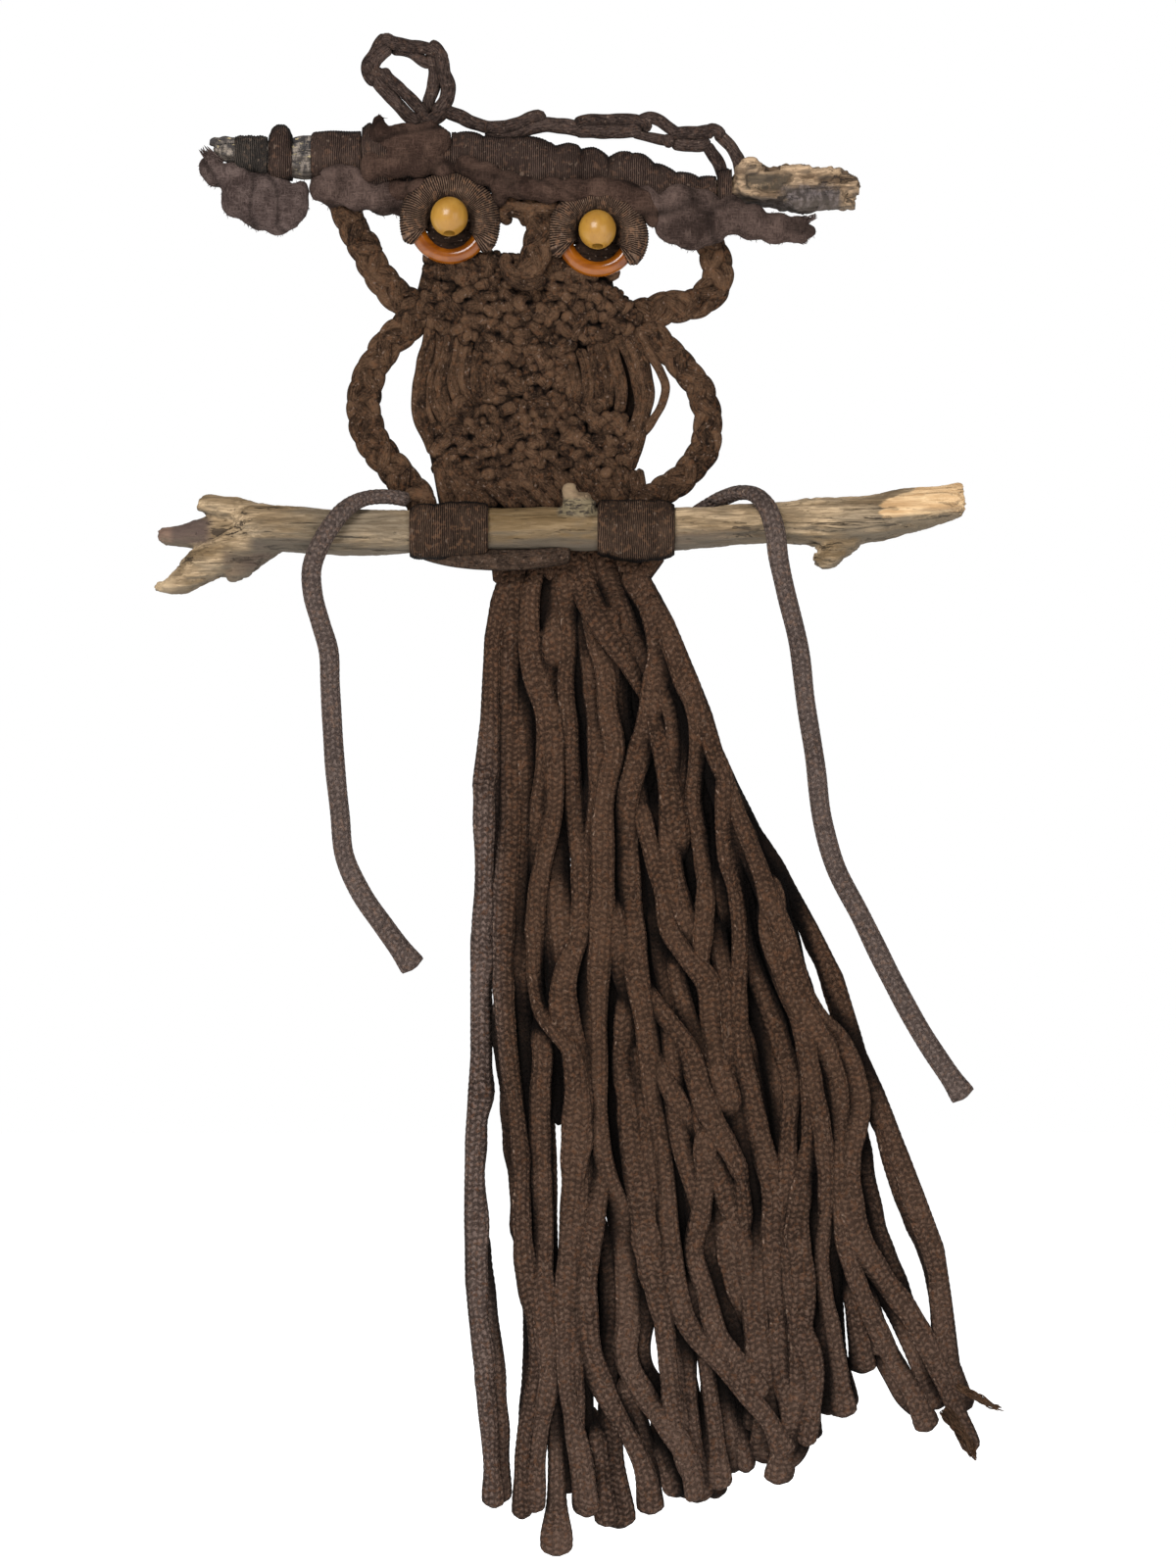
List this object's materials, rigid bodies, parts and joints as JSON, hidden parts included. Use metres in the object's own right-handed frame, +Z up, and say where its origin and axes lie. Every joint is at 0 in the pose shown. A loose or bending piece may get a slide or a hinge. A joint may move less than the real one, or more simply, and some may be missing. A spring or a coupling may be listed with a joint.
{
  "type": "macrame owl wall hanging with driftwood sticks",
  "caption": "Brown knotted-cord owl hung by a loop from a wound driftwood branch, perched on a second branch, with ring and bead eyes and a long fringe tail of flat cords.",
  "frame": {"origin": "top of the opening in the hanging loop, where a nail or hook carries the owl", "axes": "+Z up along the hang, +X to the viewer's right, the owl faces -Y"},
  "size_m": [0.3597, 0.0428, 0.6504],
  "materials": {
    "brown_cord": "matt braided and twisted cord",
    "raw_fibre": "brushed-out matt fibre",
    "branch_wood": "gnarled driftwood with bark",
    "pale_driftwood": "bare weathered driftwood",
    "amber_ring": "glossy amber",
    "bead_wood": "varnished pale wood"
  },
  "bodies": {
    "root": {"beak": "brown_cord", "brow_tuft_left": "raw_fibre", "brow_winding": "brown_cord", "ear_tuft_left": "raw_fibre", "ear_tuft_right": "raw_fibre", "eye_bead_left": "bead_wood", "eye_bead_right": "bead_wood", "eye_ring_left": "amber_ring", "eye_ring_right": "amber_ring", "eye_winding_left": "brown_cord", "eye_winding_right": "brown_cord", "fine_winding": "brown_cord", "foot_left": "brown_cord", "foot_right": "brown_cord", "hanger_chain": "brown_cord", "hanger_loop": "brown_cord", "hanger_tie": "brown_cord", "loose_cord_left": "brown_cord", "loose_cord_right": "brown_cord", "main_winding": "brown_cord", "owl_body": "brown_cord", "perch": "pale_driftwood", "perch_band": "brown_cord", "raised_coil": "brown_cord", "tail": "brown_cord", "tip_winding": "brown_cord", "top_branch": "branch_wood"}
  },
  "joints": []
}
